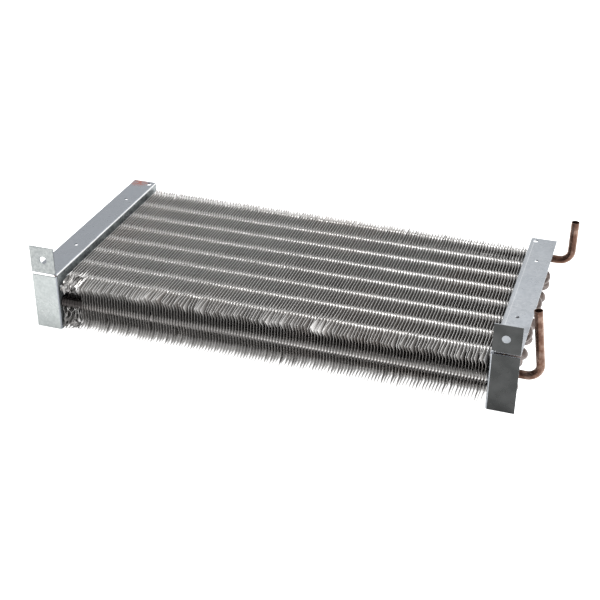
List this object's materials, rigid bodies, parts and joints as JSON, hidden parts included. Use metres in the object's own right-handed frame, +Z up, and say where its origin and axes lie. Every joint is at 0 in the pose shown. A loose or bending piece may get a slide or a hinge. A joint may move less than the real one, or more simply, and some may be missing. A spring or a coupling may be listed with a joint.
{
  "type": "condenser coil",
  "caption": "Fin-and-tube condenser coil: aluminium fins on a serpentine copper tube between folded steel end plates with upright mounting tabs and open connection stubs.",
  "frame": {"origin": "centre of the whole coil's bounding box in X and Y, on the plane of the end plates' lower edges, where Z is 0", "axes": "+X along the tubes towards the end with the stubs, +Y from the edge with the mounting tabs to the back, +Z up through the tube rows, the way the stubs point"},
  "size_m": [0.477, 0.2224, 0.0857],
  "materials": {
    "galvanised_steel": "galvanised",
    "aluminium_fin": "mill",
    "copper_tube": "darkened copper"
  },
  "bodies": {
    "root": {"end_plate_left": "galvanised_steel", "end_plate_right": "galvanised_steel", "fins": "aluminium_fin", "hairpin_01": "copper_tube", "hairpin_02": "copper_tube", "hairpin_03": "copper_tube", "hairpin_04": "copper_tube", "hairpin_05": "copper_tube", "hairpin_06": "copper_tube", "hairpin_07": "copper_tube", "hairpin_08": "copper_tube", "hairpin_09": "copper_tube", "hairpin_10": "copper_tube", "hairpin_11": "copper_tube", "hairpin_12": "copper_tube", "return_bend_01": "copper_tube", "return_bend_02": "copper_tube", "return_bend_03": "copper_tube", "return_bend_04": "copper_tube", "return_bend_05": "copper_tube", "return_bend_06": "copper_tube", "return_bend_07": "copper_tube", "return_bend_08": "copper_tube", "return_bend_09": "copper_tube", "return_bend_10": "copper_tube", "return_bend_11": "copper_tube", "inlet_stub": "copper_tube", "outlet_stub": "copper_tube"}
  },
  "joints": []
}
